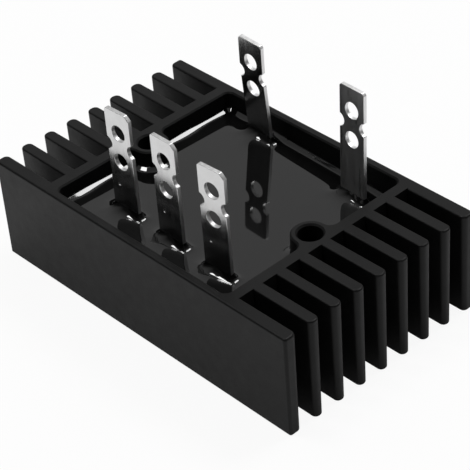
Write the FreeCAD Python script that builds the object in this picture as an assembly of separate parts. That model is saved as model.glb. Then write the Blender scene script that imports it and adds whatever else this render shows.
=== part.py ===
import FreeCAD, Part
import math
import os

os.makedirs("parts", exist_ok=True)
V = FreeCAD.Vector

# Frame: origin at the middle of the underside, +X along the fins, +Y from the plate beside
# the three terminals to the plate beside the two terminals, +Z up. Millimetres and degrees.

# casting
fin_count = 9
fin_thickness = 2.5
fin_draft = 0.5
fin_edge_radius = 0.35
plate_edge_radius = 0.45
fin_end_radius = 1.1
plate_corner_radius = 0.6
half_length = 39.6
half_width = 24.0
plate_middle_set_in = 1.6
body_height = 22.0
floor_bottom_z = 6.5
floor_thickness = 3.2
cavity_half_length = 23.2
end_wall = 2.5
side_wall = 1.8
cavity_corner_radius = 1.4
cavity_draft = 0.25
rim_break = 0.3

# mounting bosses, their middles set in from the tray's end walls
boss_set_in = 1.45
mount_hole_radius = 2.4
boss_radius = 3.7
boss_blend_radius = 1.6
boss_foot_radius = 4.9
hole_break = 0.35

# potting compound: its surface slopes a little, as it set
potting_depth = 4.6
potting_slope_x = 2.0
potting_slope_y = 0.8
meniscus_radius = 1.1
meniscus_land = 0.12
skirt_reach = 1.3
skirt_height = 1.2
skirt_land = 0.15

# circuit stack: ceramic kept clear of the tray's walls, lands inside the ceramic's edge
ceramic_end_clearance = 5.7
ceramic_side_clearance = 0.8
ceramic_thickness = 1.0
pad_thickness = 1.0
pad_gap = 1.2
pad_inset = 0.4
ac_pad_length = 25.2
plus_strip_width = 6.2
minus_pad_width = 11.1
chip_size = 4.6
chip_thickness = 0.6
chip_mesa_inset = 0.4
chip_mesa_share = 0.4
chip_set_back = 9.8
chip_side_step = 2.6
plus_chip_step = 3.2
link_width = 3.0
link_thickness = 0.5
link_end_overlap = 1.4
link_landing = 2.2
link_slope_start = 2.9
link_slope_end = 1.2
busbar_clearance = 1.6
busbar_post_radius = 1.3
busbar_land_overlap = 1.4
busbar_foot_length = 1.3

# terminals; rises are measured along the blade from rim height
blade_width = 6.3
blade_thickness = 0.8
blade_rise = 18.75
ac_left_chamfer = 0.4
ac_right_chamfer = 1.0
dc_chamfer = 0.45
blade_corner_radius = 0.3
blade_edge_break = 0.12
upper_hole_rise = 14.0
lower_hole_rise = 7.73
blade_hole_radius = 1.7
notch_radius = 1.43
notch_set_out = 0.28
left_notch_rise = 10.9
right_notch_rise = 11.0
dimple_rise = 2.4
dimple_offset = 1.1
dimple_radius = 0.5
dimple_depth = 0.12
foot_length = 5.2
foot_width = 3.8
foot_bend_radius = 0.4
lean_start_above_pad = 1.8
ac_row_clearance = 7.29
dc_row_clearance = 4.53

# How each blade stands at rim height: x off its land's middle, y off its row, then twist about Z,
# lean towards +X, pitch towards -Y, and the side its foot points to.
terminal_stances = {
    "ac_terminal_1": (0.01, 0.0, 2.6, 0.5, 0.0, 1),
    "ac_terminal_2": (0.79, -0.15, 0.6, 1.1, 0.6, 1),
    "ac_terminal_3": (1.77, -0.42, 4.7, 1.7, 1.2, 1),
    "minus_terminal": (0.06, 1.23, -0.8, 2.0, 5.5, -1),
    "plus_terminal": (3.58, 0.0, -2.3, -0.3, -2.2, -1),
}

fin_pitch = 2 * (half_width - plate_middle_set_in) / (fin_count - 1)
slot_root_x = cavity_half_length + end_wall
cavity_half_width = half_width - side_wall
ceramic_half_length = cavity_half_length - ceramic_end_clearance
ceramic_half_width = cavity_half_width - ceramic_side_clearance
floor_z = floor_bottom_z + floor_thickness
pad_z = floor_z + ceramic_thickness
pad_top = pad_z + pad_thickness
chip_top = pad_top + chip_thickness
lean_z = pad_top + lean_start_above_pad
mount_x = cavity_half_length - boss_set_in


def write(shape, name):
    """Writes one closed piece as parts/NAME.step."""
    shape = shape.removeSplitter()
    if shape.ShapeType != "Solid":
        if len(shape.Solids) != 1:
            raise ValueError(name + " has " + str(len(shape.Solids)) + " solids")
        shape = shape.Solids[0]
    if not shape.isValid():
        raise ValueError(name + " is not valid")
    shape.exportStep("parts/" + name + ".step")
    box = shape.BoundBox
    print(name, round(shape.Volume, 1), [round(v, 2) for v in
          (box.XMin, box.XMax, box.YMin, box.YMax, box.ZMin, box.ZMax)])


def block(x0, x1, y0, y1, z0, z1):
    return Part.makeBox(x1 - x0, y1 - y0, z1 - z0, V(x0, y0, z0))


def rounded_wire(x0, x1, y0, y1, r0, r1, z):
    """Closed rectangle at height z; r0 rounds its corners on the y0 side and r1 those on the y1 side."""
    k0 = r0 * (1 - math.sqrt(0.5))
    k1 = r1 * (1 - math.sqrt(0.5))
    lines = [
        (V(x0 + r0, y0, z), V(x1 - r0, y0, z)),
        (V(x1, y0 + r0, z), V(x1, y1 - r1, z)),
        (V(x1 - r1, y1, z), V(x0 + r1, y1, z)),
        (V(x0, y1 - r1, z), V(x0, y0 + r0, z)),
    ]
    middles = [V(x1 - k0, y0 + k0, z), V(x1 - k1, y1 - k1, z), V(x0 + k1, y1 - k1, z), V(x0 + k0, y0 + k0, z)]
    edges = []
    for i in range(4):
        edges.append(Part.makeLine(*lines[i]))
        edges.append(Part.Arc(lines[i][1], middles[i], lines[(i + 1) % 4][0]).toShape())
    return Part.Wire(edges)


def edges_at(shape, z):
    """Edges that lie wholly at one height."""
    found = []
    for edge in shape.Edges:
        box = edge.BoundBox
        if abs(box.ZMin - z) < 1e-4 and abs(box.ZMax - z) < 1e-4:
            found.append(edge)
    return found


def polygon_prism(points, thickness, y0):
    """Prism of a closed outline in the XZ plane, from y0 towards +Y."""
    corners = [V(x, y0, z) for x, z in points]
    face = Part.Face(Part.makePolygon(corners + [corners[0]]))
    return face.extrude(V(0, thickness, 0))


def fin(index):
    """One full-length fin, thinner towards the underside; the outermost two are the side plates."""
    centre = (index - (fin_count - 1) / 2) * fin_pitch
    top = [centre - fin_thickness / 2, centre + fin_thickness / 2]
    taper = body_height * math.tan(math.radians(fin_draft))
    foot = [top[0] + taper, top[1] - taper]
    edge = fin_edge_radius
    ends = [fin_end_radius, fin_end_radius]
    if index == 0:
        top[0] = -half_width
        foot[0] = -half_width
        edge = plate_edge_radius
        ends[0] = plate_corner_radius
    if index == fin_count - 1:
        top[1] = half_width
        foot[1] = half_width
        edge = plate_edge_radius
        ends[1] = plate_corner_radius
    thinner = taper / 2
    lower = rounded_wire(-half_length + thinner, half_length - thinner, foot[0], foot[1],
                         ends[0] - thinner, ends[1] - thinner, 0)
    upper = rounded_wire(-half_length, half_length, top[0], top[1], ends[0], ends[1], body_height)
    bar = Part.makeLoft([lower, upper], True, True)
    bar = bar.makeFillet(edge, edges_at(bar, body_height))
    return bar.makeFillet(fin_edge_radius, edges_at(bar, 0))


def cavity_outline():
    """Plan of the tray's opening: a rounded rectangle less the two bosses, blended into the walls."""
    height = 10
    plan = block(-cavity_half_length, cavity_half_length, -cavity_half_width, cavity_half_width, 0, height)
    for side in (-1, 1):
        plan = plan.cut(Part.makeCylinder(boss_radius, height, V(side * mount_x, 0, 0)))
    corners = []
    blends = []
    for edge in plan.Edges:
        box = edge.BoundBox
        if abs(box.ZLength - height) > 1e-4 or box.XLength > 1e-4 or box.YLength > 1e-4:
            continue
        if abs(abs(box.YMin) - cavity_half_width) < 1e-3:
            corners.append(edge)
        elif abs(abs(box.XMin) - cavity_half_length) < 1e-3 and abs(box.YMin) > 0.1:
            blends.append(edge)
    plan = plan.makeFillet(cavity_corner_radius, corners)
    blends = []
    for edge in plan.Edges:
        box = edge.BoundBox
        if box.XLength < 1e-4 and box.YLength < 1e-4 and abs(box.ZLength - height) < 1e-4:
            on_wall = abs(abs(box.XMin) - cavity_half_length) < 1e-3
            if on_wall and 0.1 < abs(box.YMin) < boss_radius + 0.1:
                blends.append(edge)
    plan = plan.makeFillet(boss_blend_radius, blends)
    base = [f for f in plan.Faces if abs(f.BoundBox.ZMax) < 1e-4][0]
    return base.OuterWire


def at_height(wire, z):
    moved = wire.copy()
    moved.translate(V(0, 0, z - wire.BoundBox.ZMin))
    return moved


def prism(wire, z0, z1):
    return Part.Face(at_height(wire, z0)).extrude(V(0, 0, z1 - z0))


def cavity_solid(outline):
    """The tray's inside, a little narrower at the floor."""
    floor = at_height(outline.makeOffset2D(-cavity_draft), floor_z)
    rim = at_height(outline, body_height)
    return Part.makeLoft([floor, rim], True, True)


def heat_sink(outline, cavity):
    body = block(-slot_root_x, slot_root_x, -half_width + fin_thickness / 2,
                 half_width - fin_thickness / 2, floor_bottom_z, body_height)
    for index in range(fin_count):
        body = body.fuse(fin(index))
    for side in (-1, 1):
        body = body.fuse(Part.makeCylinder(boss_foot_radius, floor_bottom_z, V(side * mount_x, 0, 0)))
    body = body.cut(cavity)
    flare = Part.makeLoft([at_height(outline, body_height - rim_break),
                           at_height(outline.makeOffset2D(rim_break), body_height)], True, True)
    body = body.cut(flare)
    for side in (-1, 1):
        body = body.cut(Part.makeCylinder(mount_hole_radius, body_height, V(side * mount_x, 0, 0)))
        wide = mount_hole_radius + hole_break
        body = body.cut(Part.makeCone(mount_hole_radius, wide, hole_break,
                                      V(side * mount_x, 0, body_height - hole_break)))
        body = body.cut(Part.makeCone(wide, mount_hole_radius, hole_break, V(side * mount_x, 0, 0)))
    return body


def surface_height(x, y):
    """Height of the flat part of the potting surface."""
    return (body_height - potting_depth - x * math.tan(math.radians(potting_slope_x))
            - y * math.tan(math.radians(potting_slope_y)))


def above_surface(lift=0.0):
    """Everything above the sloping surface plane."""
    far = 60
    corners = [V(x, y, surface_height(x, y) + lift) for x, y in ((-far, -far), (far, -far), (far, far), (-far, far))]
    face = Part.Face(Part.makePolygon(corners + [corners[0]]))
    return face.extrude(V(0, 0, far))


def land_middles():
    """x of the middle of the land each terminal stands on."""
    right = ceramic_half_length - pad_inset
    step = (2 * right + pad_gap) / 3
    side = right - minus_pad_width / 2
    return {"ac_terminal_1": -step, "ac_terminal_2": 0.0, "ac_terminal_3": step,
            "minus_terminal": -side, "plus_terminal": side}


def standing():
    """Each terminal's x, y, twist, lean, pitch and foot side; the rows are measured from the side walls."""
    middles = land_middles()
    places = {}
    for name, (off_land, off_row, twist, lean, pitch, foot_side) in terminal_stances.items():
        row = -cavity_half_width + ac_row_clearance if foot_side > 0 else cavity_half_width - dc_row_clearance
        places[name] = (middles[name] + off_land, row + off_row, twist, lean, pitch, foot_side)
    return places


def drift(place, z):
    """How far a leaning blade has moved sideways at height z, counted from rim height."""
    lean = math.radians(place[3])
    pitch = math.radians(place[4])
    climb = z - body_height
    return V(climb * math.tan(lean), -climb * math.tan(pitch) / math.cos(lean), 0)


def blade_outline(left, right):
    """Points of the blade's outline in its own plane, from the lean line up to its two chamfers."""
    w = blade_width / 2
    top = body_height + blade_rise - lean_z
    return [(-w, 0), (w, 0), (w, top - right), (w - right, top), (-w + left, top), (-w, top - left)]


def across(x, rise, radius):
    """Round bar through the blade, its middle at x and a rise above rim height."""
    return Part.makeCylinder(radius, blade_thickness + 2, V(x, -1, body_height + rise - lean_z), V(0, 1, 0))


def terminal(place):
    """Blade with two holes, two round notches and a soldering foot; modelled at the origin, then placed."""
    x, y, twist, lean, pitch, foot_side = place
    if foot_side > 0:
        outline = blade_outline(ac_left_chamfer, ac_right_chamfer)
    else:
        outline = blade_outline(dc_chamfer, dc_chamfer)
    blade = polygon_prism(outline, blade_thickness, 0)
    corners = []
    for edge in blade.Edges:
        box = edge.BoundBox
        if abs(box.YLength - blade_thickness) < 1e-4 and box.ZMin > 1:
            corners.append(edge)
    blade = blade.makeFillet(blade_corner_radius, corners)
    tips = []
    for edge in blade.Edges:
        box = edge.BoundBox
        if box.ZLength < 1e-4 and box.ZMin > 1 and box.YLength < 1e-4:
            tips.append(edge)
    blade = blade.makeChamfer(blade_edge_break, tips)
    blade = blade.cut(across(0, upper_hole_rise, blade_hole_radius))
    blade = blade.cut(across(0, lower_hole_rise, blade_hole_radius))
    blade = blade.cut(across(-blade_width / 2 - notch_set_out, left_notch_rise, notch_radius))
    blade = blade.cut(across(blade_width / 2 + notch_set_out, right_notch_rise, notch_radius))
    ball = (dimple_radius ** 2 + dimple_depth ** 2) / (2 * dimple_depth)
    dimple_z = body_height + dimple_rise - lean_z
    dimple_y = dimple_depth - ball
    if foot_side < 0:
        dimple_y = blade_thickness - dimple_y
    blade = blade.cut(Part.makeSphere(ball, V(-foot_side * dimple_offset, dimple_y, dimple_z)))
    blade.translate(V(0, 0, lean_z))
    blade.rotate(V(0, 0, lean_z), V(1, 0, 0), pitch)
    blade.rotate(V(0, 0, lean_z), V(0, 1, 0), lean)

    half = foot_width / 2
    bend = foot_bend_radius
    outer = bend + blade_thickness
    tip = foot_length
    arc_in = Part.Arc(V(-half, blade_thickness + bend, pad_top + blade_thickness),
                      V(-half, blade_thickness + bend * (1 - math.sqrt(0.5)),
                        pad_top + blade_thickness + bend * (1 - math.sqrt(0.5))),
                      V(-half, blade_thickness, pad_top + outer)).toShape()
    arc_out = Part.Arc(V(-half, 0, pad_top + outer),
                       V(-half, outer * (1 - math.sqrt(0.5)), pad_top + outer * (1 - math.sqrt(0.5))),
                       V(-half, outer, pad_top)).toShape()
    neck = lean_z + 0.4
    side_view = Part.Wire([
        arc_in,
        Part.makeLine(V(-half, blade_thickness, pad_top + outer), V(-half, blade_thickness, neck)),
        Part.makeLine(V(-half, blade_thickness, neck), V(-half, 0, neck)),
        Part.makeLine(V(-half, 0, neck), V(-half, 0, pad_top + outer)),
        arc_out,
        Part.makeLine(V(-half, outer, pad_top), V(-half, tip, pad_top)),
        Part.makeLine(V(-half, tip, pad_top), V(-half, tip, pad_top + blade_thickness)),
        Part.makeLine(V(-half, tip, pad_top + blade_thickness),
                      V(-half, blade_thickness + bend, pad_top + blade_thickness)),
    ])
    foot = Part.Face(side_view).extrude(V(foot_width, 0, 0))
    if foot_side < 0:
        foot = foot.mirror(V(0, blade_thickness / 2, 0), V(0, 1, 0))
    whole = foot.fuse(blade)
    whole.translate(drift(place, lean_z))
    whole.rotate(V(0, 0, 0), V(0, 0, 1), twist)
    whole.translate(V(x, y, 0))
    return whole


def skirt(place):
    """Compound drawn up round a blade where it leaves the surface."""
    x, y, twist, lean, pitch, foot_side = place
    level = surface_height(x, y)
    wires = []
    for z, reach, radius in ((level - 1.0, skirt_reach, 1.2), (level + 0.15, skirt_reach, 1.2),
                             (level + 0.35 * skirt_height, 0.45 * skirt_reach, 0.6),
                             (level + skirt_height, skirt_land, 0.2)):
        shift = drift(place, z)
        wire = rounded_wire(-blade_width / 2 - reach + shift.x, blade_width / 2 + reach + shift.x,
                            -reach + shift.y, blade_thickness + reach + shift.y, radius, radius, z)
        wires.append(wire)
    shape = Part.makeLoft(wires, True, True)
    shape.rotate(V(0, 0, 0), V(0, 0, 1), twist)
    shape.translate(V(x, y, 0))
    return shape


def potting(outline, cavity, inside):
    """The compound: everything in the tray below the surface, with a concave edge at walls and bosses."""
    inset = cavity_draft * potting_depth / (body_height - floor_z) + meniscus_land
    clear = prism(outline.makeOffset2D(-inset), floor_z, body_height + 10).common(above_surface())
    foot_edges = []
    for edge in clear.Edges:
        flat = True
        for part in range(5):
            t = edge.FirstParameter + (edge.LastParameter - edge.FirstParameter) * part / 4
            p = edge.valueAt(t)
            if abs(p.z - surface_height(p.x, p.y)) > 1e-4:
                flat = False
        if flat:
            foot_edges.append(edge)
    clear = clear.makeFillet(meniscus_radius, foot_edges)
    body = cavity.cut(above_surface(meniscus_radius)).cut(clear)
    for place in terminal_places.values():
        body = body.fuse(skirt(place))
    for piece in inside:
        body = body.cut(piece)
    return body


def pads():
    """Copper lands on the ceramic: three AC lands, the common plus land and the minus land."""
    back = ceramic_half_width - pad_inset
    right = ceramic_half_length - pad_inset
    width = (2 * right - 2 * pad_gap) / 3
    split = -back + ac_pad_length
    found = {}
    for i in range(3):
        x0 = -right + i * (width + pad_gap)
        found["ac_pad_" + str(i + 1)] = block(x0, x0 + width, -back, split, pad_z, pad_top)
    strip = split + pad_gap + plus_strip_width
    minus_right = -right + minus_pad_width
    plus = block(-right, right, split + pad_gap, strip, pad_z, pad_top)
    plus = plus.fuse(block(minus_right + pad_gap, right, strip, back, pad_z, pad_top))
    found["plus_pad"] = plus
    found["minus_pad"] = block(-right, minus_right, strip + pad_gap, back, pad_z, pad_top)
    return found


def chip(x, y):
    half = chip_size / 2
    top = half - chip_mesa_inset
    step = chip_top - chip_thickness * chip_mesa_share
    base = block(x - half, x + half, y - half, y + half, pad_top, step)
    return base.fuse(block(x - top, x + top, y - top, y + top, step, chip_top))


def link(x, y_chip, y_pad):
    """Strap from a chip top down to the land in front of it."""
    t = link_thickness
    y1 = y_chip + link_end_overlap
    y0 = y_pad - link_end_overlap
    high = y_chip - link_slope_start
    low = y_pad + link_slope_end
    slant = 0.3 * t
    points = [(y1, chip_top), (y1, chip_top + t), (high, chip_top + t), (low, pad_top + t),
              (y0, pad_top + t), (y0, pad_top), (low + slant, pad_top), (high + slant, chip_top)]
    corners = [V(x - link_width / 2, y, z) for y, z in points]
    return Part.Face(Part.makePolygon(corners + [corners[0]])).extrude(V(link_width, 0, 0))


def busbar(chip_places, y_land):
    """Comb that joins three chip tops and runs over the lands to the minus land."""
    t = link_thickness
    half = link_width / 2
    z0 = chip_top + busbar_clearance
    x_arm, y_bar = chip_places[0]
    x_last = chip_places[-1][0]
    bar = block(x_arm - half, x_last + half, y_bar - half, y_bar + half, z0, z0 + t)
    for x, y in chip_places:
        bar = bar.fuse(Part.makeCylinder(busbar_post_radius, z0 - chip_top, V(x, y, chip_top)))
    bar = bar.fuse(block(x_arm - half, x_arm + half, y_bar, y_land, z0, z0 + t))
    bar = bar.fuse(block(x_arm - half, x_arm + half, y_land - t, y_land, pad_top, z0 + t))
    foot = y_land - t + busbar_foot_length
    return bar.fuse(block(x_arm - half, x_arm + half, y_land - t, foot, pad_top, pad_top + t))


terminal_places = standing()
outline = cavity_outline()
cavity = cavity_solid(outline)
pieces = {}
pieces["ceramic_plate"] = block(-ceramic_half_length, ceramic_half_length, -ceramic_half_width,
                                ceramic_half_width, floor_z, pad_z)
pieces.update(pads())

ac_pads = [pieces["ac_pad_" + str(i)].BoundBox for i in (1, 2, 3)]
low_y = ac_pads[0].YMax - chip_set_back
high_y = ac_pads[0].YMax + pad_gap + plus_chip_step
low_chips = [(box.Center.x - chip_side_step, low_y) for box in ac_pads]
high_chips = [(box.Center.x + chip_side_step, high_y) for box in ac_pads]
for number, (x, y) in enumerate(low_chips + high_chips):
    pieces["diode_chip_" + str(number + 1)] = chip(x, y)
for number, (x, y) in enumerate(high_chips):
    pieces["ac_link_" + str(number + 1)] = link(x, y, ac_pads[0].YMax - link_landing)
pieces["minus_busbar"] = busbar(low_chips, pieces["minus_pad"].BoundBox.YMin + busbar_land_overlap)
for name, place in terminal_places.items():
    pieces[name] = terminal(place)

for name, shape in pieces.items():
    write(shape, name)
write(potting(outline, cavity, list(pieces.values())), "potting_compound")
write(heat_sink(outline, cavity), "heat_sink")
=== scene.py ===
from collections import namedtuple
import math

import bmesh
import bpy
import numpy as np
from mathutils import Matrix, Vector
from mathutils.geometry import delaunay_2d_cdt


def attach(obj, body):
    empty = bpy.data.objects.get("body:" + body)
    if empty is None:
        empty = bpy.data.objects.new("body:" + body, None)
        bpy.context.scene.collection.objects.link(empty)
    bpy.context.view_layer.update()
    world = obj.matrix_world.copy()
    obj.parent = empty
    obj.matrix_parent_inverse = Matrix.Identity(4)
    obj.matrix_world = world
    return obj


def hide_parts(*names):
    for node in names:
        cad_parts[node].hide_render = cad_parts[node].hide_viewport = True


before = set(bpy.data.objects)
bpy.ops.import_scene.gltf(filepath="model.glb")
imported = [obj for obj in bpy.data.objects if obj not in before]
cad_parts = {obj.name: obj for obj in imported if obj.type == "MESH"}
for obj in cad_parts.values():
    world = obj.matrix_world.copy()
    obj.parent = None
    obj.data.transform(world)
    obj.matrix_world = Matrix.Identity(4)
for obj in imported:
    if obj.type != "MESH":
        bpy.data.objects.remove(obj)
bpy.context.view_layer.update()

MM = 0.001

# sizes shared with the solids, in millimetres
BODY_HEIGHT = 22.0
FLOOR_Z = 9.7
CAVITY_HALF_LENGTH = 23.2
CAVITY_HALF_WIDTH = 22.2
CAVITY_CORNER = 1.4
CAVITY_DRAFT = 0.25
MOUNT_X = 21.75
BOSS_RADIUS = 3.7
BOSS_BLEND = 1.6
POTTING_DEPTH = 4.6
POTTING_SLOPE_X = math.radians(2.0)
POTTING_SLOPE_Y = math.radians(0.8)

PAD_TOP = 11.7
LEAN_Z = 13.5
BLADE_WIDTH = 6.3
BLADE_THICKNESS = 0.8
BLADE_RISE = 18.74
BLADE_CORNER = 0.3
AC_CHAMFERS = (0.4, 1.0)
DC_CHAMFERS = (0.45, 0.45)
UPPER_HOLE = 14.0
LOWER_HOLE = 7.73
BLADE_HOLE_RADIUS = 1.7
NOTCH_RADIUS = 1.43
NOTCH_SET_OUT = 0.28
LEFT_NOTCH = 10.9
RIGHT_NOTCH = 11.0
DIMPLE_RISE = 2.4
DIMPLE_OFFSET = 1.1
DIMPLE_RADIUS = 0.5
DIMPLE_DEPTH = 0.12
FOOT_WIDTH = 3.8
FOOT_LENGTH = 5.2
FOOT_BEND = 0.4

# x and y at rim height, twist about Z, lean towards +X, pitch towards -Y in degrees, side the foot points to
Stance = namedtuple("Stance", "x y twist lean pitch foot_side")
TERMINALS = {
    "ac_terminal_1": Stance(-11.79, -14.91, 2.6, 0.5, 0.0, 1),
    "ac_terminal_2": Stance(0.79, -15.06, 0.6, 1.1, 0.6, 1),
    "ac_terminal_3": Stance(13.57, -15.33, 4.7, 1.7, 1.2, 1),
    "minus_terminal": Stance(-11.49, 18.90, -0.8, 2.0, 5.5, -1),
    "plus_terminal": Stance(15.13, 17.67, -2.3, -0.3, -2.2, -1),
}


# mesh helpers

def new_object(name, verts, faces, smooth_angle=None, slots=None):
    """Mesh object from points in millimetres; slots holds each face's material index."""
    mesh = bpy.data.meshes.new(name)
    mesh.from_pydata([tuple(c * MM for c in v) for v in verts], [], faces)
    if slots:
        mesh.polygons.foreach_set("material_index", slots)
    mesh.validate()
    bm = bmesh.new()
    bm.from_mesh(mesh)
    bmesh.ops.recalc_face_normals(bm, faces=bm.faces)
    bm.to_mesh(mesh)
    bm.free()
    obj = bpy.data.objects.new(name, mesh)
    bpy.context.scene.collection.objects.link(obj)
    if smooth_angle is not None:
        smooth(obj, smooth_angle)
    return obj


def smooth(obj, angle):
    """Smooth shading, split at edges sharper than the angle."""
    mesh = obj.data
    mesh.polygons.foreach_set("use_smooth", [True] * len(mesh.polygons))
    bm = bmesh.new()
    bm.from_mesh(mesh)
    limit = math.radians(angle)
    for edge in bm.edges:
        edge.smooth = len(edge.link_faces) == 2 and edge.calc_face_angle(0.0) < limit
    bm.to_mesh(mesh)
    bm.free()
    mesh.update()


def offset_loop(loop, distance):
    """Moves a closed plane loop to its left by distance along mitred vertex normals."""
    p = np.asarray(loop, float)
    before = p - np.roll(p, 1, axis=0)
    after = np.roll(p, -1, axis=0) - p
    before /= np.linalg.norm(before, axis=1, keepdims=True)
    after /= np.linalg.norm(after, axis=1, keepdims=True)
    n0 = np.stack([-before[:, 1], before[:, 0]], 1)
    n1 = np.stack([-after[:, 1], after[:, 0]], 1)
    m = n0 + n1
    m /= np.maximum(np.sum(m * n0, axis=1, keepdims=True), 0.35)
    return p + m * distance


def arc(cx, cy, radius, start, end, count):
    """Points of an arc, both ends included, angles in degrees."""
    turn = np.radians(np.linspace(start, end, count))
    return [(cx + radius * math.cos(a), cy + radius * math.sin(a)) for a in turn]


def in_polygon(points, loop):
    """Even-odd test of many points against one closed loop."""
    pts = np.asarray(points, float)
    p = np.asarray(loop, float)
    inside = np.zeros(len(pts), bool)
    q = np.roll(p, -1, axis=0)
    for (x0, y0), (x1, y1) in zip(p, q):
        if y0 == y1:
            continue
        crosses = (y0 > pts[:, 1]) != (y1 > pts[:, 1])
        x = x0 + (pts[:, 1] - y0) * (x1 - x0) / (y1 - y0)
        inside ^= crosses & (pts[:, 0] < x)
    return inside


def distance_to_loop(points, loop):
    """Distance of many points from one closed loop's segments."""
    pts = np.asarray(points, float)
    p = np.asarray(loop, float)
    q = np.roll(p, -1, axis=0)
    best = np.full(len(pts), 1e9)
    for a, b in zip(p, q):
        d = b - a
        t = np.clip(((pts - a) @ d) / max(d @ d, 1e-12), 0, 1)
        near = a + t[:, None] * d
        best = np.minimum(best, np.linalg.norm(pts - near, axis=1))
    return best


# materials

def shader(name):
    """New material with its node tree and its Principled BSDF."""
    mat = bpy.data.materials.new(name)
    mat.use_nodes = True
    tree = mat.node_tree
    bsdf = tree.nodes["Principled BSDF"]
    return mat, tree, bsdf


def node(tree, kind, **values):
    """New node whose inputs or settings are given by name."""
    made = tree.nodes.new(kind)
    for key, value in values.items():
        if key in made.inputs:
            made.inputs[key].default_value = value
        else:
            setattr(made, key, value)
    return made


def noise_texture(tree, scale, detail, rough):
    """Noise fixed to the object."""
    place = tree.nodes.new("ShaderNodeTexCoord")
    made = node(tree, "ShaderNodeTexNoise", Scale=scale, Detail=detail, Roughness=rough)
    tree.links.new(place.outputs["Object"], made.inputs["Vector"])
    return made


def ramp(tree, source, target, stops):
    """Drives a shader input by a source, from the first stop's colour to the second's."""
    made = tree.nodes.new("ShaderNodeValToRGB")
    for element, (position, colour) in zip(made.color_ramp.elements, stops):
        element.position = position
        element.color = colour
    tree.links.new(source, made.inputs["Fac"])
    tree.links.new(made.outputs["Color"], target)


def grey(v):
    return (v, v, v, 1.0)


def bump(tree, bsdf, source, strength, distance):
    made = node(tree, "ShaderNodeBump", Strength=strength, Distance=distance)
    tree.links.new(source, made.inputs["Height"])
    tree.links.new(made.outputs["Normal"], bsdf.inputs["Normal"])


def casting_material():
    """Satin black coat over a die casting: fine orange peel and faint cloudiness."""
    mat, tree, bsdf = shader("casting_black")
    cloud = noise_texture(tree, 160.0, 3.0, 0.5)
    ramp(tree, cloud.outputs["Fac"], bsdf.inputs["Base Color"], [(0.3, grey(0.0035)), (0.7, grey(0.0055))])
    sheen = noise_texture(tree, 420.0, 4.0, 0.6)
    ramp(tree, sheen.outputs["Fac"], bsdf.inputs["Roughness"], [(0.25, grey(0.40)), (0.75, grey(0.50))])
    grain = noise_texture(tree, 2600.0, 2.0, 0.6)
    bump(tree, bsdf, grain.outputs["Fac"], 0.25, 0.00004)
    bsdf.inputs["IOR"].default_value = 1.27
    return mat


def potting_material():
    """Black casting resin with a mirror surface and a faint film."""
    mat, tree, bsdf = shader("potting_black")
    film = noise_texture(tree, 90.0, 3.0, 0.5)
    ramp(tree, film.outputs["Fac"], bsdf.inputs["Base Color"], [(0.3, grey(0.0022)), (0.75, grey(0.0034))])
    ramp(tree, film.outputs["Fac"], bsdf.inputs["Roughness"], [(0.3, grey(0.03)), (0.75, grey(0.05))])
    bsdf.inputs["IOR"].default_value = 1.52
    return mat


def drawn_grain(tree, across, along):
    """Noise stretched along Z, the way the strip was rolled."""
    place = tree.nodes.new("ShaderNodeTexCoord")
    stretch = node(tree, "ShaderNodeMapping", Scale=(across, across, along))
    tree.links.new(place.outputs["Object"], stretch.inputs["Vector"])
    grain = node(tree, "ShaderNodeTexNoise", Scale=1.0, Detail=3.0, Roughness=0.6)
    tree.links.new(stretch.outputs["Vector"], grain.inputs["Vector"])
    return grain


def blade_material(name, smoothest, dullest):
    """Tin plate, drawn lengthways, with faint handling marks."""
    mat, tree, bsdf = shader(name)
    bsdf.inputs["Metallic"].default_value = 1.0
    grain = drawn_grain(tree, 1400.0, 30.0)
    cloud = noise_texture(tree, 300.0, 4.0, 0.6)
    ramp(tree, cloud.outputs["Fac"], bsdf.inputs["Base Color"], [(0.3, grey(0.66)), (0.7, grey(0.73))])
    ramp(tree, grain.outputs["Fac"], bsdf.inputs["Roughness"], [(0.3, grey(smoothest)), (0.7, grey(dullest))])
    bump(tree, bsdf, grain.outputs["Fac"], 0.16, 0.00003)
    return mat


def cut_edge_material(name, darkest, palest):
    """Stamped edge of the strip under its tin: duller, with torn streaks across the thickness."""
    mat, tree, bsdf = shader(name)
    bsdf.inputs["Metallic"].default_value = 1.0
    grain = drawn_grain(tree, 2200.0, 160.0)
    ramp(tree, grain.outputs["Fac"], bsdf.inputs["Base Color"], [(0.3, grey(darkest)), (0.7, grey(palest))])
    ramp(tree, grain.outputs["Fac"], bsdf.inputs["Roughness"], [(0.3, grey(0.38)), (0.7, grey(0.55))])
    bump(tree, bsdf, grain.outputs["Fac"], 0.3, 0.00004)
    return mat


def simple_material(name, low, high, scale, roughness, metallic=0.0):
    """Two-tone mottled finish for the pieces sealed inside."""
    mat, tree, bsdf = shader(name)
    cloud = noise_texture(tree, scale, 4.0, 0.6)
    ramp(tree, cloud.outputs["Fac"], bsdf.inputs["Base Color"], [(0.3, low), (0.7, high)])
    bsdf.inputs["Roughness"].default_value = roughness
    bsdf.inputs["Metallic"].default_value = metallic
    bump(tree, bsdf, cloud.outputs["Fac"], 0.1, 0.00005)
    return mat


CASTING = casting_material()
POTTING = potting_material()
BLADE = blade_material("blade_tin", 0.14, 0.22)
DULL_BLADE = blade_material("blade_tin_dull", 0.25, 0.40)
CUT_EDGE = cut_edge_material("blade_cut_edge", 0.50, 0.66)
# paler copy of the same cut-edge tin for the DC blades: a painted highlight for the bright background their
# edges reflect
CUT_EDGE_PAINTED_HIGHLIGHT = cut_edge_material("blade_cut_edge_painted_highlight", 0.74, 0.88)
CERAMIC = simple_material("ceramic_white", (0.78, 0.77, 0.72, 1), (0.86, 0.85, 0.81, 1), 600.0, 0.45)
COPPER = simple_material("copper_bare", (0.62, 0.32, 0.20, 1), (0.76, 0.42, 0.28, 1), 400.0, 0.32, 1.0)
SILICON = simple_material("silicon_die", (0.10, 0.10, 0.12, 1), (0.16, 0.16, 0.18, 1), 900.0, 0.25, 0.6)


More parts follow.
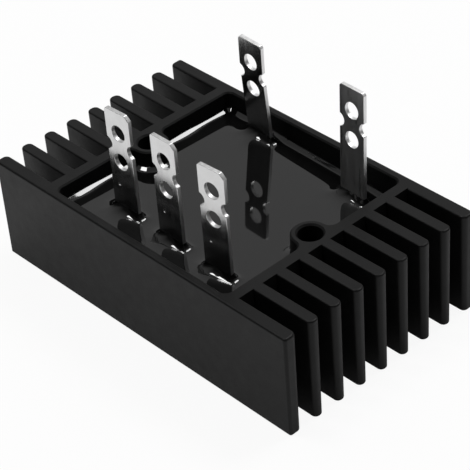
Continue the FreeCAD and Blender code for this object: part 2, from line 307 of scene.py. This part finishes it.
def finish_of(name):
    """Material of a CAD node, by what the piece is."""
    if name == "heat_sink":
        return CASTING
    if name == "potting_compound":
        return POTTING
    if name == "ceramic_plate":
        return CERAMIC
    if name.startswith("diode_chip"):
        return SILICON
    if "terminal" in name:
        return BLADE
    return COPPER


for name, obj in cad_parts.items():
    obj.data.materials.clear()
    obj.data.materials.append(finish_of(name))


# potting surface

# collar that wets each blade: its height, its reach, how much fuller its middle and leaner its right end are
CUFF_RISE = 1.35
CUFF_REACH = 0.62
CUFF_BELLY = 0.55
CUFF_LOPSIDED = 0.5
CUFF_ROUNDNESS = 0.5
CUFF_CORNER = 0.12
CUFF_MIDDLE = 0.6
CUFF_RIPPLE = 0.10
CUFF_FINE_RIPPLE = 0.06

# climb at the walls: height at some distances, and how its size swings along Y
WALL_FEET = (0.0, 0.12, 0.75, 1.25, 1.9)
WALL_CLIMB = (1.05, 0.56, 0.25, 0.06, 0.0)
WALL_SWING = 0.2
WALL_SWING_LENGTH = 13.0
WALL_WIDEST = 10.0

# mesh of the surface: rows along the walls and round the blades, a grid between
WALL_STEP = 0.5
WALL_ROWS = (0.06, 0.12, 0.22, 0.38, 0.56, 0.75, 0.95, 1.25, 1.6, 2.0, 2.7)
CUFF_ROWS = (0.02, 0.1, 0.2, 0.32, 0.46, 0.62, 0.82, 1.05, 1.35, 1.7, 2.2, 2.9)
CUFF_STEP = 0.22
CUFF_STEP_GROWTH = 0.12
GRID_STEP = 0.9
GRID_REACH = 24
GRID_OFF_WALL = 3.2
GRID_OFF_BLADE = 3.4
NORMAL_NUDGE = 0.01


def surface_height(x, y):
    """Flat part of the sloping compound surface."""
    return BODY_HEIGHT - POTTING_DEPTH - x * math.tan(POTTING_SLOPE_X) - y * math.tan(POTTING_SLOPE_Y)


def cavity_loop(shrink, corner_points=8):
    """Plan of the tray's opening, counter-clockwise, shrunk by a distance."""
    hl = CAVITY_HALF_LENGTH
    hw = CAVITY_HALF_WIDTH
    r = CAVITY_CORNER
    wall = hl - BOSS_BLEND
    reach = BOSS_RADIUS + BOSS_BLEND
    y_blend = math.sqrt(reach ** 2 - (wall - MOUNT_X) ** 2)
    join = math.degrees(math.atan2(-y_blend, wall - MOUNT_X))
    right = arc(wall, -y_blend, BOSS_BLEND, 0, 180 + join, 8)
    boss = arc(MOUNT_X, 0, BOSS_RADIUS, join % 360, 360 - join % 360, 30)
    upper = [(x, -y) for x, y in reversed(right)]
    half = right + boss[1:-1] + upper
    loop = arc(hl - r, -hw + r, r, -90, 0, corner_points) + half
    loop += arc(hl - r, hw - r, r, 0, 90, corner_points)
    loop += [(-x, -y) for x, y in loop]
    clean = [loop[0]]
    for p in loop[1:]:
        if math.dist(p, clean[-1]) > 1e-4:
            clean.append(p)
    return offset_loop(clean, shrink) if shrink else np.asarray(clean)


def drift(place, z):
    """Sideways move of a leaning blade at height z, counted from rim height."""
    lean, pitch = math.radians(place.lean), math.radians(place.pitch)
    climb = z - BODY_HEIGHT
    return climb * math.tan(lean), -climb * math.tan(pitch) / math.cos(lean)


def turned(place, u, v):
    """Plan point of a terminal's own frame, moved to its place."""
    c, s = math.cos(math.radians(place.twist)), math.sin(math.radians(place.twist))
    return place.x + c * u - s * v, place.y + s * u + c * v


def blade_section(place, z, grow, step):
    """Plan of a blade at height z, grown outwards, with round corners and even steps."""
    du, dv = drift(place, z)
    r = CUFF_CORNER + grow
    w = BLADE_WIDTH / 2 + grow
    low, high = -grow, BLADE_THICKNESS + grow
    r = min(r, (high - low) / 2)
    loop = []
    right, left, near, far = w - r, r - w, low + r, high - r
    for cu, cv, turn in ((right, near, -90), (right, far, 0), (left, far, 90), (left, near, 180)):
        loop += arc(cu, cv, r, turn, turn + 90, max(3, int(r * math.pi / 2 / step) + 1))
    loop = divided(loop, step)
    return np.array([turned(place, u + du, v + dv) for u, v in loop])


def blade_foot(place, grow=0.0, step=WALL_STEP):
    """Plan of a blade where it leaves the compound, grown outwards."""
    return blade_section(place, surface_height(place.x, place.y) + CUFF_MIDDLE, grow, step)


def divided(loop, step):
    """Closed loop with its long runs divided."""
    p = np.asarray(loop, float)
    made = []
    for a, b in zip(p, np.roll(p, -1, axis=0)):
        length = np.linalg.norm(b - a)
        if length < 1e-6:
            continue
        count = max(1, int(length / step))
        made += [tuple(a + (b - a) * i / count) for i in range(count)]
    return np.array(made)


def cuff_rise(points, place):
    """Height the compound climbs round one blade: steep at the metal, reaching further on its left."""
    core = blade_foot(place)
    gap = distance_to_loop(points, core)
    gap[in_polygon(points, core)] = 0.0
    c, s = math.cos(math.radians(place.twist)), math.sin(math.radians(place.twist))
    middle = core.mean(axis=0)
    u = (points[:, 0] - middle[0]) * c + (points[:, 1] - middle[1]) * s
    v = (points[:, 1] - middle[1]) * c - (points[:, 0] - middle[0]) * s
    turn = np.arctan2(v / CUFF_ROUNDNESS, u)
    share = np.clip(np.abs(u) / (BLADE_WIDTH / 2), 0.0, 1.0)
    reach = CUFF_REACH * (1.0 + CUFF_BELLY * (1.0 - share ** 2))
    reach = reach * (1.0 - CUFF_LOPSIDED * u / (BLADE_WIDTH / 2 + np.abs(u)))
    ripple = CUFF_RIPPLE * np.sin(3 * turn + place.x) + CUFF_FINE_RIPPLE * np.sin(7 * turn + place.y)
    reach = reach * (1.0 + ripple)
    return CUFF_RISE * np.exp(-gap / reach)


def wall_width(points):
    """Share of its full size that the climb along the wall has at plan points."""
    return 1.0 - WALL_SWING * (1.0 - np.cos(2 * math.pi * (points[:, 1] - WALL_WIDEST) / WALL_SWING_LENGTH))


def wall_climb(distance):
    """Height the compound climbs at a distance from the wall: steep lip, straight slope, soft foot."""
    slope = np.gradient(np.array(WALL_CLIMB), np.array(WALL_FEET))
    slope[1:3] = (WALL_CLIMB[2] - WALL_CLIMB[1]) / (WALL_FEET[2] - WALL_FEET[1])
    slope[-1] = 0.0
    d = np.minimum(distance, WALL_FEET[-1])
    k = np.clip(np.searchsorted(WALL_FEET, d, side="right") - 1, 0, len(WALL_FEET) - 2)
    x = np.array(WALL_FEET)
    y = np.array(WALL_CLIMB)
    span = x[k + 1] - x[k]
    t = (d - x[k]) / span
    return ((2 * t ** 3 - 3 * t ** 2 + 1) * y[k] + (t ** 3 - 2 * t ** 2 + t) * span * slope[k]
            + (3 * t ** 2 - 2 * t ** 3) * y[k + 1] + (t ** 3 - t ** 2) * span * slope[k + 1])


def skin_height(points, wall_loop):
    """Height of the compound surface at many plan points."""
    away = distance_to_loop(points, wall_loop)
    away[~in_polygon(points, wall_loop)] *= -1.0
    width = wall_width(points)
    climb = width * wall_climb(away / width)
    for place in TERMINALS.values():
        climb = np.maximum(climb, 0.0) + cuff_rise(points, place)
    return surface_height(points[:, 0], points[:, 1]) + climb


def skin_points(wall_loop):
    """Plan points of the compound's surface, the wall's own points first."""
    rows = [wall_loop]
    width = wall_width(wall_loop)[:, None]
    for inset in WALL_ROWS:
        rows.append(wall_loop + (offset_loop(wall_loop, inset) - wall_loop) * width)
    for place in TERMINALS.values():
        for grow in CUFF_ROWS:
            rows.append(blade_foot(place, grow, CUFF_STEP + CUFF_STEP_GROWTH * grow))
    points = np.vstack(rows)
    keep = in_polygon(points, wall_loop)
    keep[:len(wall_loop)] = True
    count = int(GRID_REACH / GRID_STEP)
    steps = range(-count, count + 1)
    grid = np.array([((i + 0.5 * (j % 2)) * GRID_STEP, j * GRID_STEP) for i in steps for j in steps])
    free = in_polygon(grid, wall_loop) & (distance_to_loop(grid, wall_loop) > GRID_OFF_WALL)
    for place in TERMINALS.values():
        core = blade_foot(place)
        free &= (distance_to_loop(grid, core) > GRID_OFF_BLADE) & ~in_polygon(grid, core)
    return np.vstack([points[keep], grid[free]])


def open_border(faces):
    """Vertices round the open edge of a sheet of faces, in order."""
    used = set()
    for f in faces:
        used.update(zip(f, f[1:] + f[:1]))
    follow = {a: b for a, b in used if (b, a) not in used}
    first = next(iter(follow))
    ring = [first]
    while follow[ring[-1]] != first:
        ring.append(follow[ring[-1]])
    return ring


def set_true_normals(mesh, plan, wall_loop):
    """Gives the compound's top its exact normals, which keep its mirror free of facets."""
    east = np.array((NORMAL_NUDGE, 0.0))
    north = np.array((0.0, NORMAL_NUDGE))
    rise_east = skin_height(plan + east, wall_loop) - skin_height(plan - east, wall_loop)
    rise_north = skin_height(plan + north, wall_loop) - skin_height(plan - north, wall_loop)
    span = 2 * NORMAL_NUDGE
    true_normal = np.stack([-rise_east / span, -rise_north / span, np.ones(len(plan))], 1)
    true_normal /= np.linalg.norm(true_normal, axis=1, keepdims=True)
    normals = [tuple(n.vector) for n in mesh.corner_normals]
    for polygon in mesh.polygons:
        if polygon.normal.z > 0.2:
            for corner in polygon.loop_indices:
                vertex = mesh.loops[corner].vertex_index
                if vertex < len(plan):
                    normals[corner] = tuple(true_normal[vertex])
    mesh.normals_split_custom_set(normals)


def potting_skin():
    """Closed body of compound whose surface climbs at the walls, bosses and blades."""
    wall_loop = divided(cavity_loop(CAVITY_DRAFT * POTTING_DEPTH / (BODY_HEIGHT - FLOOR_Z)), WALL_STEP)
    count = len(wall_loop)
    edges = [(i, (i + 1) % count) for i in range(count)]
    points = [Vector(p) for p in skin_points(wall_loop)]
    made = delaunay_2d_cdt(points, edges, [list(range(count))], 1, 1e-5)
    plan = np.array([tuple(v) for v in made[0]])
    verts = [(x, y, z) for (x, y), z in zip(plan, skin_height(plan, wall_loop))]
    faces = [list(f) for f in made[2]]
    # the wall and base that close the body
    ring = open_border(faces)
    base = len(verts)
    shrink = 1 - CAVITY_DRAFT * 0.6 / CAVITY_HALF_WIDTH
    verts += [(plan[i][0] * shrink, plan[i][1] * shrink, FLOOR_Z) for i in ring]
    for i in range(len(ring)):
        j = (i + 1) % len(ring)
        faces.append([ring[j], ring[i], base + i, base + j])
    faces.append([base + i for i in range(len(ring))])
    obj = new_object("potting_skin", verts, faces, 60)
    set_true_normals(obj.data, plan, wall_loop)
    return obj


skin = potting_skin()
skin.data.materials.append(POTTING)
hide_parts("potting_compound")
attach(skin, "root")


# blades

BEND_STEPS = 6
# the minus blade's head is bowed back from this height on, in 1/mm
BOW_START = 17.0
MINUS_BOW = 0.005
NOTCH_EASE = 0.24
NOTCH_LEAD = 10
FRONT_EDGE = 0.09
BACK_EDGE = 0.05
EDGE_LAND = 0.03
# rows of the edge profile between which the stamped edge lies
CUT_ROWS = (3, 10)
# the dent in a blade, as shares of its radius and depth
DIMPLE_PROFILE = ((0.0, 1.0), (0.36, 0.86), (0.68, 0.5), (0.9, 0.14), (1.0, 0.0), (1.15, 0.0))
DIMPLE_POINTS = 16


def eased(start, at, end, count=4):
    """Short curve from start to end that a sharp corner is cut to."""
    start, at, end = np.array(start), np.array(at), np.array(end)
    steps = np.linspace(0, 1, count)
    return [tuple((1 - t) ** 2 * start + 2 * t * (1 - t) * at + t * t * end) for t in steps]


def fillet(before, at, after, radius, count=5):
    """Points of a round corner between two straight sides."""
    at = np.array(at)
    a = (np.array(before) - at) / np.linalg.norm(np.array(before) - at)
    b = (np.array(after) - at) / np.linalg.norm(np.array(after) - at)
    half = math.acos(max(-1, min(1, float(a @ b)))) / 2
    centre = at + (a + b) / np.linalg.norm(a + b) * radius / math.sin(half)
    start = at + a * radius / math.tan(half)
    end = at + b * radius / math.tan(half)
    a0 = math.atan2(start[1] - centre[1], start[0] - centre[0])
    a1 = math.atan2(end[1] - centre[1], end[0] - centre[0])
    sweep = (a1 - a0 + math.pi) % (2 * math.pi) - math.pi
    return [(centre[0] + radius * math.cos(a0 + sweep * i / (count - 1)),
             centre[1] + radius * math.sin(a0 + sweep * i / (count - 1))) for i in range(count)]


def foot_steps():
    """Heights down the neck, bend and foot, as lengths below the lean line."""
    straight = LEAN_Z - PAD_TOP - FOOT_BEND - BLADE_THICKNESS
    bend = (FOOT_BEND + BLADE_THICKNESS / 2) * math.pi / 2
    flat = FOOT_LENGTH - FOOT_BEND - BLADE_THICKNESS
    return straight, bend, flat


def blade_side(chamfer, notch_rise):
    """Right half of the unbent terminal's outline, from the foot up to the middle of the top."""
    w = BLADE_WIDTH / 2
    half = FOOT_WIDTH / 2
    top = BODY_HEIGHT + BLADE_RISE - LEAN_Z
    straight, bend, flat = foot_steps()
    down = [(half, -straight - bend * i / BEND_STEPS) for i in range(BEND_STEPS + 1)]
    right = [(half, -straight - bend - flat)] + list(reversed(down)) + [(half, 0.0), (w, 0.0)]
    notch = BODY_HEIGHT + notch_rise - LEAN_Z
    mouth = math.sqrt(NOTCH_RADIUS ** 2 - NOTCH_SET_OUT ** 2)
    open_angle = math.degrees(math.acos(NOTCH_SET_OUT / NOTCH_RADIUS))
    turn = open_angle - NOTCH_LEAD
    inside = arc(w + NOTCH_SET_OUT, notch, NOTCH_RADIUS, 180 + turn, 180 - turn, 19)
    right += eased((w, notch - mouth - NOTCH_EASE), (w, notch - mouth), inside[0])
    right += inside[1:-1]
    right += eased(inside[-1], (w, notch + mouth), (w, notch + mouth + NOTCH_EASE))
    upper = (w, top - chamfer)
    inner = (w - chamfer, top)
    right += fillet(right[-1], upper, inner, BLADE_CORNER)
    right += fillet(upper, inner, (0, top), BLADE_CORNER)
    return right


def blade_loop(chamfers):
    """Outline of the unbent terminal, counter-clockwise in its own plane (u, v), v from the lean line up."""
    left = [(-u, v) for u, v in reversed(blade_side(chamfers[0], LEFT_NOTCH))]
    return np.asarray(blade_side(chamfers[1], RIGHT_NOTCH) + left)


def bent(point, foot_side):
    """Point (u, depth, v) of the unbent terminal, bent at the foot, in the terminal's upright frame."""
    u, d, v = point
    if v >= 0:
        return u, d, v
    if foot_side < 0:
        d = BLADE_THICKNESS - d
    straight, bend, flat = foot_steps()
    outer = FOOT_BEND + BLADE_THICKNESS
    base = PAD_TOP - LEAN_Z
    below = -v
    if below <= straight:
        y, z = d, v
    elif below <= straight + bend:
        turn = (below - straight) / bend * math.pi / 2
        y = outer - (outer - d) * math.cos(turn)
        z = base + outer - (outer - d) * math.sin(turn)
    else:
        y = outer + below - straight - bend
        z = base + d
    if foot_side < 0:
        y = BLADE_THICKNESS - y
    return u, y, z


def leaning(point, place, bow):
    """Blade point with its head bowed back, turned by the pitch and the lean about the lean line."""
    u, d, v = point
    d += bow * max(0.0, v - BOW_START) ** 2
    lean, pitch = math.radians(place.lean), math.radians(place.pitch)
    y = d * math.cos(pitch) - v * math.sin(pitch)
    z = d * math.sin(pitch) + v * math.cos(pitch)
    return u * math.cos(lean) + z * math.sin(lean), y, -u * math.sin(lean) + z * math.cos(lean)


def edge_profile():
    """Inset and depth of each row round the blade's cut edge, from the front face to the back face."""
    rows = [(FRONT_EDGE + EDGE_LAND, 0.0)]
    for i in range(5):
        turn = math.pi / 2 * i / 4
        rows.append((FRONT_EDGE * (1 - math.sin(turn)), FRONT_EDGE * (1 - math.cos(turn))))
    rows.append((0.0, FRONT_EDGE + EDGE_LAND))
    rows.append((0.0, BLADE_THICKNESS - BACK_EDGE - EDGE_LAND))
    for i in range(4):
        turn = math.pi / 2 * i / 3
        rows.append((BACK_EDGE * (1 - math.cos(turn)), BLADE_THICKNESS - BACK_EDGE * (1 - math.sin(turn))))
    rows.append((BACK_EDGE + EDGE_LAND, BLADE_THICKNESS))
    return rows


def face_triangles(loops, verts, dimple):
    """Flat face of the blade between its outline and holes, with the small dent where there is one."""
    pts = []
    ids = []
    edges = []
    for row in loops:
        base = len(pts)
        pts += [Vector((verts[i][0], verts[i][2])) for i in row]
        ids += row
        edges += [(base + i, base + (i + 1) % len(row)) for i in range(len(row))]
    outline = loops[0]
    # edges across the neck and foot keep their rows straight where they bend
    levels = {}
    for k, i in enumerate(outline):
        if verts[i][2] < -1e-6:
            levels.setdefault(round(verts[i][2], 4), []).append(k)
    for pair in levels.values():
        if len(pair) == 2:
            edges.append(tuple(pair))
    if dimple:
        centre_u, centre_v, face, inward = dimple
        for radius, depth in DIMPLE_PROFILE:
            count = 1 if radius == 0 else DIMPLE_POINTS
            for i in range(count):
                turn = 2 * math.pi * i / count
                u = centre_u + radius * DIMPLE_RADIUS * math.cos(turn)
                v = centre_v + radius * DIMPLE_RADIUS * math.sin(turn)
                pts.append(Vector((u, v)))
                ids.append(len(verts))
                verts.append((u, face + inward * depth * DIMPLE_DEPTH, v))
    made = delaunay_2d_cdt(pts, edges, [], 0, 1e-6)
    centres = np.array([np.mean([tuple(made[0][i]) for i in f], axis=0) for f in made[2]])
    good = in_polygon(centres, [(verts[i][0], verts[i][2]) for i in outline])
    for row in loops[1:]:
        good &= ~in_polygon(centres, [(verts[i][0], verts[i][2]) for i in row])
    origin = [o[0] if o else None for o in made[3]]
    return [[ids[origin[i]] for i in f] for f, ok in zip(made[2], good) if ok]


def blade_mesh(name, place):
    """Stamped terminal: two holes, two notches, rounded cut edges, a dent, and the bent foot."""
    foot_side = place.foot_side
    bow = MINUS_BOW if name.startswith("minus") else 0.0
    outer = blade_loop(AC_CHAMFERS if foot_side > 0 else DC_CHAMFERS)
    loops = [outer]
    for rise in (UPPER_HOLE, LOWER_HOLE):
        loops.append(np.asarray(arc(0, BODY_HEIGHT + rise - LEAN_Z, BLADE_HOLE_RADIUS, 360, 7.5, 48)))
    verts = []
    faces = []
    slots = []
    front = []
    back = []
    for loop in loops:
        rows = []
        for inset, depth in edge_profile():
            ring = offset_loop(loop, inset)
            rows.append(list(range(len(verts), len(verts) + len(ring))))
            verts += [(u, depth, v) for u, v in ring]
        for k, (r0, r1) in enumerate(zip(rows, rows[1:])):
            for i in range(len(r0)):
                j = (i + 1) % len(r0)
                faces.append([r0[i], r0[j], r1[j], r1[i]])
                slots.append(1 if CUT_ROWS[0] <= k < CUT_ROWS[1] else 0)
        front.append(rows[0])
        back.append(rows[-1])
    dent_v = BODY_HEIGHT + DIMPLE_RISE - LEAN_Z
    if foot_side > 0:
        faces += face_triangles(front, verts, (-DIMPLE_OFFSET, dent_v, 0.0, 1))
        faces += face_triangles(back, verts, None)
    else:
        faces += face_triangles(front, verts, None)
        faces += face_triangles(back, verts, (DIMPLE_OFFSET, dent_v, BLADE_THICKNESS, -1))
    du, dv = drift(place, LEAN_Z)
    placed = []
    for u, d, v in verts:
        if v >= 0:
            q = leaning((u, d, v), place, bow)
        else:
            q = bent((u, d, v), foot_side)
        x, y = turned(place, q[0] + du, q[1] + dv)
        placed.append((x, y, q[2] + LEAN_Z))
    slots += [0] * (len(faces) - len(slots))
    obj = new_object(name, placed, faces, 40, slots)
    obj.data.materials.append(DULL_BLADE if name.startswith("plus") else BLADE)
    # the DC blades take the paler cut-edge copy, a painted highlight; the AC blades take the plain one
    obj.data.materials.append(CUT_EDGE if name.startswith("ac") else CUT_EDGE_PAINTED_HIGHLIGHT)
    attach(obj, "root")
    return obj


for name, place in TERMINALS.items():
    blade = blade_mesh(name + "_blade", place)
    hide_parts(name)


# stage

VIEW_WHITE_SHARE = 0.92
MIRROR_WHITE_SHARE = 0.38
ROOM_MIRROR_WHITE_SHARE = 0.05
CONTACT_SHADE_REACH = 0.03
ROOM_BRIGHT_TOWARDS = (-0.45, 0.55, 0.70)
ROOM_DARK_AT = 0.32
ROOM_BRIGHT_AT = 0.96
ROOM_BRIGHTEST = 0.62
FLOOR_HALF = 3000.0
LAMP_DISTANCE = 0.9
LAMP_AIM = Vector((0, 0, 0.02))


def white_share(tree, in_view, in_mirror, openness=None):
    """Share of plain white that the camera, and mirrors and glass, see in place of the lit surface."""
    path = tree.nodes.new("ShaderNodeLightPath")
    mirrored = node(tree, "ShaderNodeMath", operation="MAXIMUM")
    tree.links.new(path.outputs["Is Glossy Ray"], mirrored.inputs[0])
    tree.links.new(path.outputs["Is Transmission Ray"], mirrored.inputs[1])
    dimmed = node(tree, "ShaderNodeMath", operation="MULTIPLY")
    dimmed.inputs[1].default_value = in_mirror
    tree.links.new(mirrored.outputs[0], dimmed.inputs[0])
    # an occlusion value dims the white seen in mirrors and glass: painted shade
    if openness:
        kept = node(tree, "ShaderNodeMath", operation="MULTIPLY")
        tree.links.new(dimmed.outputs[0], kept.inputs[0])
        tree.links.new(openness, kept.inputs[1])
        dimmed = kept
    seen = node(tree, "ShaderNodeMath", operation="MULTIPLY")
    seen.inputs[1].default_value = in_view
    tree.links.new(path.outputs["Is Camera Ray"], seen.inputs[0])
    share = node(tree, "ShaderNodeMath", operation="MAXIMUM")
    tree.links.new(seen.outputs[0], share.inputs[0])
    tree.links.new(dimmed.outputs[0], share.inputs[1])
    return share.outputs[0]


def floor_material():
    """White card: plain diffuse, mostly its own white for the camera and in reflections; in reflections that
    white is dimmed by ambient occlusion near the part, a painted contact shade.
    """
    mat = bpy.data.materials.new("floor_white")
    mat.use_nodes = True
    tree = mat.node_tree
    bsdf = tree.nodes["Principled BSDF"]
    bsdf.inputs["Base Color"].default_value = (0.9, 0.9, 0.9, 1)
    bsdf.inputs["Roughness"].default_value = 1.0
    bsdf.inputs["Specular IOR Level"].default_value = 0.0
    white = node(tree, "ShaderNodeEmission", Color=(1, 1, 1, 1), Strength=1.0)
    # ambient occlusion dims the floor's white glow in reflections near the part: painted contact shade
    contact_shade_ao = node(tree, "ShaderNodeAmbientOcclusion", Distance=CONTACT_SHADE_REACH, samples=8)
    share = white_share(tree, VIEW_WHITE_SHARE, MIRROR_WHITE_SHARE, contact_shade_ao.outputs["AO"])
    mix = tree.nodes.new("ShaderNodeMixShader")
    tree.links.new(share, mix.inputs[0])
    tree.links.new(bsdf.outputs[0], mix.inputs[1])
    tree.links.new(white.outputs[0], mix.inputs[2])
    tree.links.new(mix.outputs[0], tree.nodes["Material Output"].inputs["Surface"])
    return mat


def stage_floor():
    h = FLOOR_HALF
    obj = new_object("floor_card", [(-h, -h, 0), (h, -h, 0), (h, h, 0), (-h, h, 0)], [[0, 1, 2, 3]])
    obj.data.materials.append(floor_material())


def world_light():
    """A room that is bright behind and to the left, dim elsewhere, and plain white to the camera."""
    world = bpy.data.worlds.new("room")
    bpy.context.scene.world = world
    world.use_nodes = True
    tree = world.node_tree
    back = tree.nodes["Background"]
    back.inputs["Color"].default_value = (1, 1, 1, 1)
    place = tree.nodes.new("ShaderNodeTexCoord")
    along = node(tree, "ShaderNodeVectorMath", operation="DOT_PRODUCT")
    along.inputs[1].default_value = Vector(ROOM_BRIGHT_TOWARDS).normalized()
    tree.links.new(place.outputs["Generated"], along.inputs[0])
    shade = node(tree, "ShaderNodeMapRange")
    shade.inputs["From Min"].default_value = ROOM_DARK_AT
    shade.inputs["From Max"].default_value = ROOM_BRIGHT_AT
    shade.inputs["To Min"].default_value = 0.0
    shade.inputs["To Max"].default_value = ROOM_BRIGHTEST
    tree.links.new(along.outputs["Value"], shade.inputs["Value"])
    tree.links.new(shade.outputs["Result"], back.inputs["Strength"])
    white = node(tree, "ShaderNodeBackground", Color=(1, 1, 1, 1), Strength=1.0)
    mix = tree.nodes.new("ShaderNodeMixShader")
    tree.links.new(white_share(tree, 1.0, ROOM_MIRROR_WHITE_SHARE), mix.inputs[0])
    tree.links.new(back.outputs[0], mix.inputs[1])
    tree.links.new(white.outputs[0], mix.inputs[2])
    tree.links.new(mix.outputs[0], tree.nodes["World Output"].inputs["Surface"])


def area_light(name, direction, size, power):
    """Square softbox at a set distance in a direction, aimed at the part."""
    data = bpy.data.lights.new(name, "AREA")
    data.shape = "SQUARE"
    data.size = size
    data.energy = power
    obj = bpy.data.objects.new(name, data)
    bpy.context.scene.collection.objects.link(obj)
    d = Vector(direction).normalized()
    obj.location = d * LAMP_DISTANCE + LAMP_AIM
    obj.rotation_euler = (-d).to_track_quat("-Z", "Y").to_euler()


stage_floor()
world_light()
area_light("softbox_rear", (0.10, 0.517, 0.85), 0.26, 3.4)
area_light("softbox_above", (-0.25, -0.20, 0.95), 0.20, 2.9)


# camera, at the photograph's angle

CAMERA_AT = Vector((0.22003, -0.18690, 0.22967))
CAMERA_AZIMUTH = math.radians(49.522)
CAMERA_ELEVATION = math.radians(37.232)
CAMERA_ROLL = math.radians(4.869)
FOCAL_PIXELS = 1913.28
IMAGE_PIXELS = 470


def camera():
    """Camera at the place and turn fitted to the photograph."""
    data = bpy.data.cameras.new("camera")
    data.sensor_fit = "HORIZONTAL"
    data.sensor_width = 36.0
    data.lens = FOCAL_PIXELS / IMAGE_PIXELS * data.sensor_width
    data.clip_start = 0.02
    data.clip_end = 50.0
    obj = bpy.data.objects.new("camera", data)
    bpy.context.scene.collection.objects.link(obj)
    a, e, r = CAMERA_AZIMUTH, CAMERA_ELEVATION, CAMERA_ROLL
    back = Vector((math.sin(a) * math.cos(e), -math.cos(a) * math.cos(e), math.sin(e)))
    side = (-back).cross(Vector((0, 0, 1))).normalized()
    down = (-back).cross(side)
    right = side * math.cos(r) + down * math.sin(r)
    below = down * math.cos(r) - side * math.sin(r)
    turn = Matrix((right, -below, back)).transposed().to_4x4()
    obj.matrix_world = Matrix.Translation(CAMERA_AT) @ turn
    bpy.context.scene.camera = obj


camera()

bpy.context.scene.view_settings.view_transform = "Standard"
